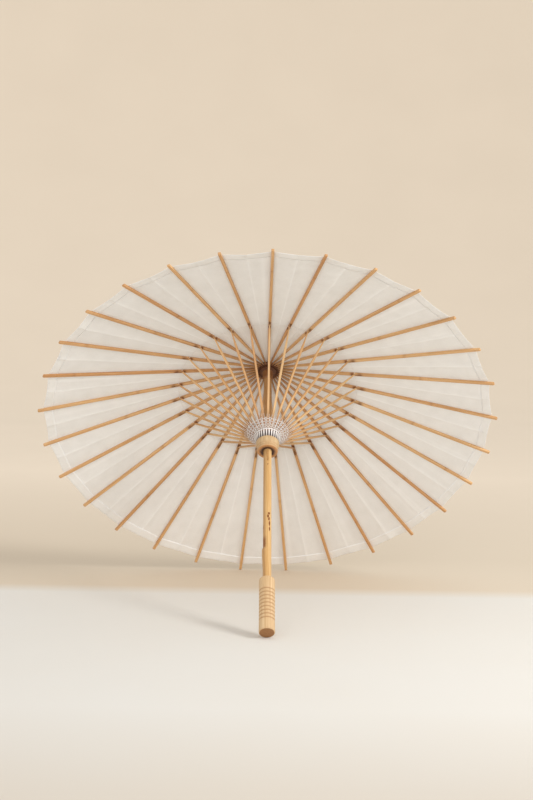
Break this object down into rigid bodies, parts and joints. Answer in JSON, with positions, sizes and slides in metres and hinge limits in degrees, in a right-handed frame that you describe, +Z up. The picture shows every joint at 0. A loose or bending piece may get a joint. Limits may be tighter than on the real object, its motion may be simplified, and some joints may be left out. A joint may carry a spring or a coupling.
{
  "type": "oil paper umbrella",
  "caption": "Open oil paper umbrella with a bamboo shaft and split bamboo ribs, a sliding runner on stretchers and a grooved wooden handle, leaning with its underside forward.",
  "frame": {"origin": "on the floor under the middle of the open umbrella's box", "axes": "+Z up; +Y back, the way the shaft leans from the handle to the crown; +X across the open cover, to the right of someone facing its underside"},
  "size_m": [0.8036, 0.6204, 0.6156],
  "materials": {
    "shaft_bamboo": "bamboo, smooth with worn skin",
    "rib_bamboo": "split bamboo, satin",
    "stretcher_bamboo": "split bamboo, satin",
    "turned_wood": "turned hardwood, satin",
    "dowel": "matte end grain",
    "catch_bamboo": "dark bamboo",
    "oiled_paper": "oiled paper, translucent, faint fibres",
    "rim_paper": "doubled oiled paper",
    "thread": "twisted cotton thread"
  },
  "bodies": {
    "root": {"shaft": "shaft_bamboo", "handle": "turned_wood", "handle_pin": "dowel", "top_notch": "turned_wood", "top_notch_pin": "dowel", "top_notch_thread": "thread", "finial": "turned_wood", "paper_cover": "oiled_paper", "rim_strip": "rim_paper", "joint_thread": "thread", "catch_pin": "dowel"},
    "runner": {"runner": "turned_wood", "runner_thread": "thread", "runner_lacing": "thread", "stretchers": "stretcher_bamboo"},
    "catch": {"catch": "catch_bamboo"},
    "rib_01": {"rib_01": "rib_bamboo"},
    "rib_02": {"rib_02": "rib_bamboo"},
    "rib_03": {"rib_03": "rib_bamboo"},
    "rib_04": {"rib_04": "rib_bamboo"},
    "rib_05": {"rib_05": "rib_bamboo"},
    "rib_06": {"rib_06": "rib_bamboo"},
    "rib_07": {"rib_07": "rib_bamboo"},
    "rib_08": {"rib_08": "rib_bamboo"},
    "rib_09": {"rib_09": "rib_bamboo"},
    "rib_10": {"rib_10": "rib_bamboo"},
    "rib_11": {"rib_11": "rib_bamboo"},
    "rib_12": {"rib_12": "rib_bamboo"},
    "rib_13": {"rib_13": "rib_bamboo"},
    "rib_14": {"rib_14": "rib_bamboo"},
    "rib_15": {"rib_15": "rib_bamboo"},
    "rib_16": {"rib_16": "rib_bamboo"},
    "rib_17": {"rib_17": "rib_bamboo"},
    "rib_18": {"rib_18": "rib_bamboo"},
    "rib_19": {"rib_19": "rib_bamboo"},
    "rib_20": {"rib_20": "rib_bamboo"},
    "rib_21": {"rib_21": "rib_bamboo"},
    "rib_22": {"rib_22": "rib_bamboo"},
    "rib_23": {"rib_23": "rib_bamboo"},
    "rib_24": {"rib_24": "rib_bamboo"},
    "rib_25": {"rib_25": "rib_bamboo"},
    "rib_26": {"rib_26": "rib_bamboo"},
    "rib_27": {"rib_27": "rib_bamboo"},
    "rib_28": {"rib_28": "rib_bamboo"},
    "rib_29": {"rib_29": "rib_bamboo"}
  },
  "joints": [
    {"name": "runner_slide", "type": "slide", "parent": "root", "child": "runner", "axis": [0, -0.7659, -0.6429], "range_m": [0, 0.16583], "deforming": ["paper_cover", "rim_strip", "joint_thread", "stretchers", "runner_lacing", "catch"]},
    {"name": "catch_press", "type": "hinge", "parent": "root", "child": "catch", "pos_m": [0, -0.02313, 0.25049], "axis": [-1, 0, 0], "range_deg": [0, 6], "stiffness_Nm_per_rad": 0.05, "springref_deg": -2.86},
    {"name": "rib_01_fold", "type": "hinge", "parent": "root", "child": "rib_01", "pos_m": [0, 0.14223, 0.40483], "axis": [1, 0, 0], "range_deg": [0, 67.05]},
    {"name": "rib_02_fold", "type": "hinge", "parent": "root", "child": "rib_02", "pos_m": [0.00365, 0.14248, 0.40452], "axis": [0.9766, 0.1382, -0.1647], "range_deg": [0, 67.05]},
    {"name": "rib_03_fold", "type": "hinge", "parent": "root", "child": "rib_03", "pos_m": [0.00714, 0.14324, 0.40362], "axis": [0.9076, 0.27, -0.3216], "range_deg": [0, 67.05]},
    {"name": "rib_04_fold", "type": "hinge", "parent": "root", "child": "rib_04", "pos_m": [0.01029, 0.14446, 0.40217], "axis": [0.7961, 0.3891, -0.4635], "range_deg": [0, 67.05]},
    {"name": "rib_05_fold", "type": "hinge", "parent": "root", "child": "rib_05", "pos_m": [0.01296, 0.14608, 0.40024], "axis": [0.6474, 0.49, -0.5838], "range_deg": [0, 67.05]},
    {"name": "rib_06_fold", "type": "hinge", "parent": "root", "child": "rib_06", "pos_m": [0.01502, 0.14804, 0.39791], "axis": [0.4684, 0.568, -0.6767], "range_deg": [0, 67.05]},
    {"name": "rib_07_fold", "type": "hinge", "parent": "root", "child": "rib_07", "pos_m": [0.01638, 0.15023, 0.39529], "axis": [0.2675, 0.6195, -0.738], "range_deg": [0, 67.05]},
    {"name": "rib_08_fold", "type": "hinge", "parent": "root", "child": "rib_08", "pos_m": [0.01698, 0.15257, 0.39251], "axis": [0.0541, 0.642, -0.7648], "range_deg": [0, 67.05]},
    {"name": "rib_09_fold", "type": "hinge", "parent": "root", "child": "rib_09", "pos_m": [0.01678, 0.15493, 0.3897], "axis": [-0.1618, 0.6345, -0.7558], "range_deg": [0, 67.05]},
    {"name": "rib_10_fold", "type": "hinge", "parent": "root", "child": "rib_10", "pos_m": [0.01579, 0.1572, 0.38699], "axis": [-0.3701, 0.5973, -0.7115], "range_deg": [0, 67.05]},
    {"name": "rib_11_fold", "type": "hinge", "parent": "root", "child": "rib_11", "pos_m": [0.01407, 0.15929, 0.3845], "axis": [-0.5612, 0.5321, -0.6339], "range_deg": [0, 67.05]},
    {"name": "rib_12_fold", "type": "hinge", "parent": "root", "child": "rib_12", "pos_m": [0.01169, 0.16109, 0.38235], "axis": [-0.726, 0.4421, -0.5267], "range_deg": [0, 67.05]},
    {"name": "rib_13_fold", "type": "hinge", "parent": "root", "child": "rib_13", "pos_m": [0.00876, 0.16252, 0.38065], "axis": [-0.8569, 0.3315, -0.3949], "range_deg": [0, 67.05]},
    {"name": "rib_14_fold", "type": "hinge", "parent": "root", "child": "rib_14", "pos_m": [0.00543, 0.16351, 0.37947], "axis": [-0.9477, 0.2053, -0.2446], "range_deg": [0, 67.05]},
    {"name": "rib_15_fold", "type": "hinge", "parent": "root", "child": "rib_15", "pos_m": [0.00184, 0.16402, 0.37886], "axis": [-0.9941, 0.0695, -0.0828], "range_deg": [0, 67.05]},
    {"name": "rib_16_fold", "type": "hinge", "parent": "root", "child": "rib_16", "pos_m": [-0.00184, 0.16402, 0.37886], "axis": [-0.9941, -0.0695, 0.0828], "range_deg": [0, 67.05]},
    {"name": "rib_17_fold", "type": "hinge", "parent": "root", "child": "rib_17", "pos_m": [-0.00543, 0.16351, 0.37947], "axis": [-0.9477, -0.2053, 0.2446], "range_deg": [0, 67.05]},
    {"name": "rib_18_fold", "type": "hinge", "parent": "root", "child": "rib_18", "pos_m": [-0.00876, 0.16252, 0.38065], "axis": [-0.8569, -0.3315, 0.3949], "range_deg": [0, 67.05]},
    {"name": "rib_19_fold", "type": "hinge", "parent": "root", "child": "rib_19", "pos_m": [-0.01169, 0.16109, 0.38235], "axis": [-0.726, -0.4421, 0.5267], "range_deg": [0, 67.05]},
    {"name": "rib_20_fold", "type": "hinge", "parent": "root", "child": "rib_20", "pos_m": [-0.01407, 0.15929, 0.3845], "axis": [-0.5612, -0.5321, 0.6339], "range_deg": [0, 67.05]},
    {"name": "rib_21_fold", "type": "hinge", "parent": "root", "child": "rib_21", "pos_m": [-0.01579, 0.1572, 0.38699], "axis": [-0.3701, -0.5973, 0.7115], "range_deg": [0, 67.05]},
    {"name": "rib_22_fold", "type": "hinge", "parent": "root", "child": "rib_22", "pos_m": [-0.01678, 0.15493, 0.3897], "axis": [-0.1618, -0.6345, 0.7558], "range_deg": [0, 67.05]},
    {"name": "rib_23_fold", "type": "hinge", "parent": "root", "child": "rib_23", "pos_m": [-0.01698, 0.15257, 0.39251], "axis": [0.0541, -0.642, 0.7648], "range_deg": [0, 67.05]},
    {"name": "rib_24_fold", "type": "hinge", "parent": "root", "child": "rib_24", "pos_m": [-0.01638, 0.15023, 0.39529], "axis": [0.2675, -0.6195, 0.738], "range_deg": [0, 67.05]},
    {"name": "rib_25_fold", "type": "hinge", "parent": "root", "child": "rib_25", "pos_m": [-0.01502, 0.14804, 0.39791], "axis": [0.4684, -0.568, 0.6767], "range_deg": [0, 67.05]},
    {"name": "rib_26_fold", "type": "hinge", "parent": "root", "child": "rib_26", "pos_m": [-0.01296, 0.14608, 0.40024], "axis": [0.6474, -0.49, 0.5838], "range_deg": [0, 67.05]},
    {"name": "rib_27_fold", "type": "hinge", "parent": "root", "child": "rib_27", "pos_m": [-0.01029, 0.14446, 0.40217], "axis": [0.7961, -0.3891, 0.4635], "range_deg": [0, 67.05]},
    {"name": "rib_28_fold", "type": "hinge", "parent": "root", "child": "rib_28", "pos_m": [-0.00714, 0.14324, 0.40362], "axis": [0.9076, -0.27, 0.3216], "range_deg": [0, 67.05]},
    {"name": "rib_29_fold", "type": "hinge", "parent": "root", "child": "rib_29", "pos_m": [-0.00365, 0.14248, 0.40452], "axis": [0.9766, -0.1382, 0.1647], "range_deg": [0, 67.05]}
  ],
  "couplings": [
    {"joint": "rib_01_fold", "follows": "runner_slide", "rad_per_m": 7.0518},
    {"joint": "rib_02_fold", "follows": "runner_slide", "rad_per_m": 7.0518},
    {"joint": "rib_03_fold", "follows": "runner_slide", "rad_per_m": 7.0518},
    {"joint": "rib_04_fold", "follows": "runner_slide", "rad_per_m": 7.0518},
    {"joint": "rib_05_fold", "follows": "runner_slide", "rad_per_m": 7.0518},
    {"joint": "rib_06_fold", "follows": "runner_slide", "rad_per_m": 7.0518},
    {"joint": "rib_07_fold", "follows": "runner_slide", "rad_per_m": 7.0518},
    {"joint": "rib_08_fold", "follows": "runner_slide", "rad_per_m": 7.0518},
    {"joint": "rib_09_fold", "follows": "runner_slide", "rad_per_m": 7.0518},
    {"joint": "rib_10_fold", "follows": "runner_slide", "rad_per_m": 7.0518},
    {"joint": "rib_11_fold", "follows": "runner_slide", "rad_per_m": 7.0518},
    {"joint": "rib_12_fold", "follows": "runner_slide", "rad_per_m": 7.0518},
    {"joint": "rib_13_fold", "follows": "runner_slide", "rad_per_m": 7.0518},
    {"joint": "rib_14_fold", "follows": "runner_slide", "rad_per_m": 7.0518},
    {"joint": "rib_15_fold", "follows": "runner_slide", "rad_per_m": 7.0518},
    {"joint": "rib_16_fold", "follows": "runner_slide", "rad_per_m": 7.0518},
    {"joint": "rib_17_fold", "follows": "runner_slide", "rad_per_m": 7.0518},
    {"joint": "rib_18_fold", "follows": "runner_slide", "rad_per_m": 7.0518},
    {"joint": "rib_19_fold", "follows": "runner_slide", "rad_per_m": 7.0518},
    {"joint": "rib_20_fold", "follows": "runner_slide", "rad_per_m": 7.0518},
    {"joint": "rib_21_fold", "follows": "runner_slide", "rad_per_m": 7.0518},
    {"joint": "rib_22_fold", "follows": "runner_slide", "rad_per_m": 7.0518},
    {"joint": "rib_23_fold", "follows": "runner_slide", "rad_per_m": 7.0518},
    {"joint": "rib_24_fold", "follows": "runner_slide", "rad_per_m": 7.0518},
    {"joint": "rib_25_fold", "follows": "runner_slide", "rad_per_m": 7.0518},
    {"joint": "rib_26_fold", "follows": "runner_slide", "rad_per_m": 7.0518},
    {"joint": "rib_27_fold", "follows": "runner_slide", "rad_per_m": 7.0518},
    {"joint": "rib_28_fold", "follows": "runner_slide", "rad_per_m": 7.0518},
    {"joint": "rib_29_fold", "follows": "runner_slide", "rad_per_m": 7.0518}
  ]
}
